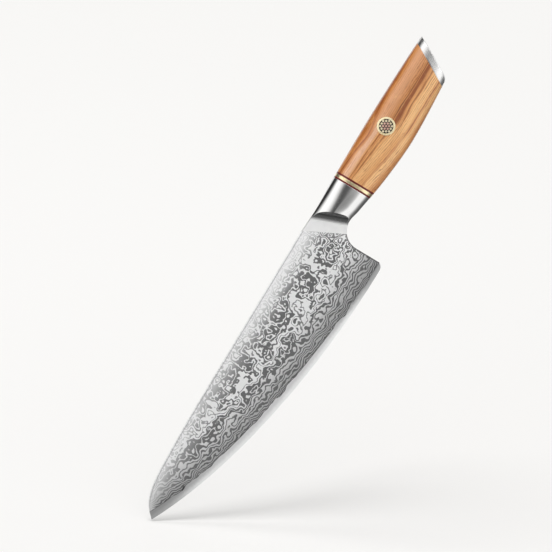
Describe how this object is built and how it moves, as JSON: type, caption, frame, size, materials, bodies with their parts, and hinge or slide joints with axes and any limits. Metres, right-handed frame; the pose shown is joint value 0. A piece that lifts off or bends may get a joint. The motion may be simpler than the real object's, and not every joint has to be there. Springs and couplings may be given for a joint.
{
  "type": "chef knife",
  "caption": "Chef's knife: laminated patterned steel blade, polished steel bolster, ring stack, rounded wooden handle with a mosaic pin, and a slanted steel butt cap.",
  "frame": {"origin": "point on the flat slanted end face of the butt cap, where the handle's length axis crosses it", "axes": "+X from butt to tip, +Y to the knife's left side, +Z from edge to spine"},
  "size_m": [0.3318, 0.0216, 0.0526],
  "materials": {
    "core_steel": "fine satin, sharpened edge",
    "damascus_steel": "etched layered pattern, light on dark grey",
    "polished_steel": "mirror-like hand polish with faint lengthwise lines",
    "hidden_steel": "plain ground, hidden inside",
    "red_spacer": "polished dark red fibre",
    "brass": "polished flush",
    "copper": "copper rod, polished flush",
    "olive_wood": "oiled and buffed olive wood with dark lengthwise figure",
    "dark_epoxy": "cured dark resin"
  },
  "bodies": {
    "root": {"blade_core": "core_steel", "cladding_left": "damascus_steel", "cladding_right": "damascus_steel", "bolster": "polished_steel", "end_cap": "polished_steel", "cap_stud": "hidden_steel", "tang": "hidden_steel", "front_spacer": "red_spacer", "rear_spacer": "red_spacer", "brass_ring": "brass", "pin_tube": "brass", "wood_handle": "olive_wood", "tang_epoxy": "dark_epoxy", "pin_resin": "dark_epoxy", "pin_rod_centre": "copper", "pin_rod_inner_1": "copper", "pin_rod_inner_2": "copper", "pin_rod_inner_3": "copper", "pin_rod_inner_4": "copper", "pin_rod_inner_5": "copper", "pin_rod_inner_6": "copper", "pin_rod_outer_1": "brass", "pin_rod_outer_2": "brass", "pin_rod_outer_3": "brass", "pin_rod_outer_4": "brass", "pin_rod_outer_5": "brass", "pin_rod_outer_6": "brass", "pin_rod_outer_7": "brass", "pin_rod_outer_8": "brass", "pin_rod_outer_9": "brass", "pin_rod_outer_10": "brass", "pin_rod_outer_11": "brass", "pin_rod_outer_12": "brass"}
  },
  "joints": []
}
